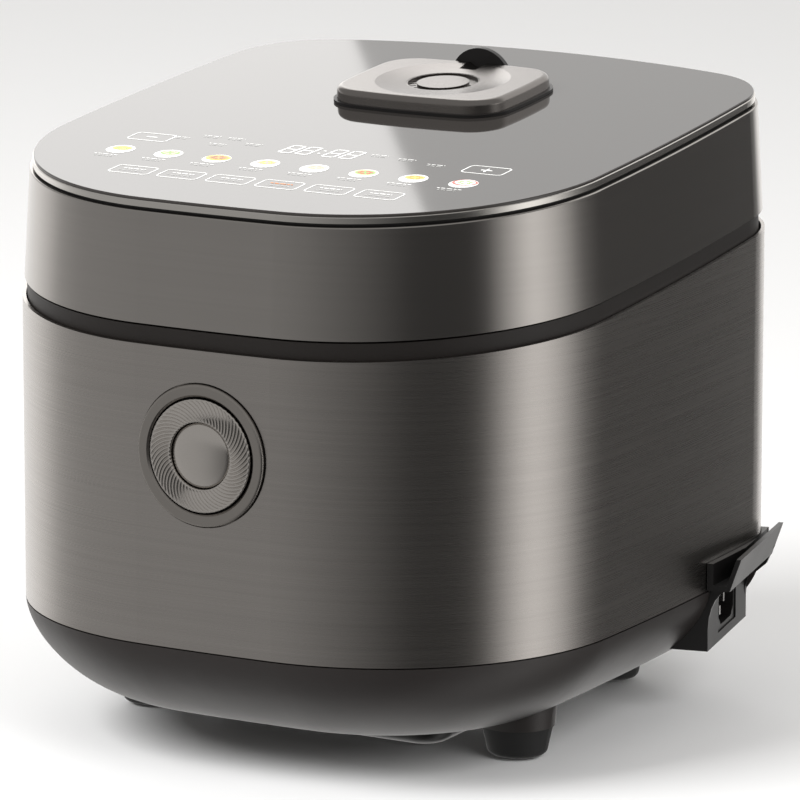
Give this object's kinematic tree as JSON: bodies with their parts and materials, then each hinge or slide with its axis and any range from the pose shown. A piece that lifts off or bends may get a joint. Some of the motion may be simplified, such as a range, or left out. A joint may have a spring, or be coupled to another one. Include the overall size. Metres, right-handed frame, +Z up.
{
  "type": "rice cooker",
  "caption": "Rounded-square electric rice cooker with a tilted glass touch lid, a round lid-release button and a pull-out steam cap.",
  "frame": {"origin": "on the floor under the middle of the body, between the four feet", "axes": "+Z up, front with the button towards -Y, hinge towards +Y, mains inlet on the +X side"},
  "size_m": [0.2844, 0.3034, 0.2768],
  "materials": {
    "base_plastic": "fine moulded grain",
    "collar_plastic": "smooth matte",
    "black_plastic": "moulded matte",
    "shell_steel": "dark tinted, brushed level round the body",
    "lid_metal": "satin metallic",
    "trim_steel": "bright brushed",
    "lid_glass": "gloss, painted on the back",
    "cap_metal": "satin metallic",
    "button_metal": "satin metallic",
    "knob_metal": "fine satin",
    "silicone": "translucent white, satin",
    "pot_coating": "dark non-stick coating",
    "bare_aluminium": "mill finish",
    "steel": "bright zinc plate",
    "spring_steel": "drawn wire",
    "copper_winding": "lacquered copper strand",
    "ferrite": "sintered, dark",
    "circuit_board": "green lacquer",
    "component_plastic": "moulded components",
    "display_window": "smoked",
    "foot_rubber": "matte"
  },
  "bodies": {
    "root": {"base_housing": "base_plastic", "rubber_feet": "foot_rubber", "bottom_cover": "black_plastic", "base_screws": "steel", "outer_shell": "shell_steel", "rim_collar": "collar_plastic", "heat_shield": "bare_aluminium", "coil_carrier": "black_plastic", "induction_coil": "copper_winding", "ferrite_bars": "ferrite", "inner_pot": "pot_coating", "sensor_spring": "spring_steel", "power_board": "circuit_board", "board_components": "component_plastic", "heat_sink": "bare_aluminium", "fan_frame": "black_plastic", "inlet_housing": "black_plastic", "inlet_socket": "black_plastic", "inlet_pins": "steel", "button_bezel": "button_metal", "button_guide": "black_plastic", "button_spring": "spring_steel", "latch_bracket": "black_plastic", "latch_pin": "steel", "latch_spring": "spring_steel", "hinge_cover": "collar_plastic", "hinge_pin": "steel", "hinge_springs": "spring_steel"},
    "lid": {"lid_skirt": "lid_metal", "lid_liner": "collar_plastic", "inner_lid": "bare_aluminium", "pot_gasket": "silicone", "lid_sensor": "steel", "lid_frame": "black_plastic", "lid_screws": "steel", "glass_trim": "trim_steel", "glass_panel": "lid_glass", "touch_board": "circuit_board", "display_module": "display_window", "steam_duct": "black_plastic", "duct_seal": "silicone", "striker": "steel", "hinge_arms": "collar_plastic"},
    "steam_cap": {"steam_cap_base": "black_plastic", "steam_cap_cover": "cap_metal", "steam_cap_grille": "cap_metal", "steam_cap_plug": "black_plastic"},
    "button": {"button_ring": "knob_metal", "button_cap": "knob_metal", "button_stem": "black_plastic"},
    "latch": {"latch_lever": "black_plastic"},
    "sensor": {"thermal_sensor": "bare_aluminium"},
    "fan": {"fan_impeller": "black_plastic"}
  },
  "joints": [
    {"name": "lid_hinge", "type": "hinge", "parent": "root", "child": "lid", "pos_m": [0, 0.138, 0.22686], "axis": [-1, 0, 0], "range_deg": [0, 82]},
    {"name": "button_press", "type": "slide", "parent": "root", "child": "button", "axis": [0, 1, 0], "range_m": [0, 0.004], "stiffness_N_per_m": 800, "deforming": ["button_spring"]},
    {"name": "latch_pivot", "type": "hinge", "parent": "root", "child": "latch", "pos_m": [0, -0.1335, 0.168], "axis": [1, 0, 0], "range_deg": [0, 8.6], "deforming": ["latch_spring"]},
    {"name": "steam_cap_pull", "type": "slide", "parent": "lid", "child": "steam_cap", "axis": [0, -0.0785, 0.9969], "range_m": [0, 0.025]},
    {"name": "sensor_press", "type": "slide", "parent": "root", "child": "sensor", "axis": [0, 0, 1], "range_m": [-0.002, 0], "stiffness_N_per_m": 400, "deforming": ["sensor_spring"]},
    {"name": "fan_spin", "type": "hinge", "parent": "root", "child": "fan", "pos_m": [0, 0, 0.028], "axis": [0, 0, 1], "continuous": true}
  ],
  "couplings": [
    {"joint": "latch_pivot", "follows": "button_press", "rad_per_m": 37.037}
  ]
}
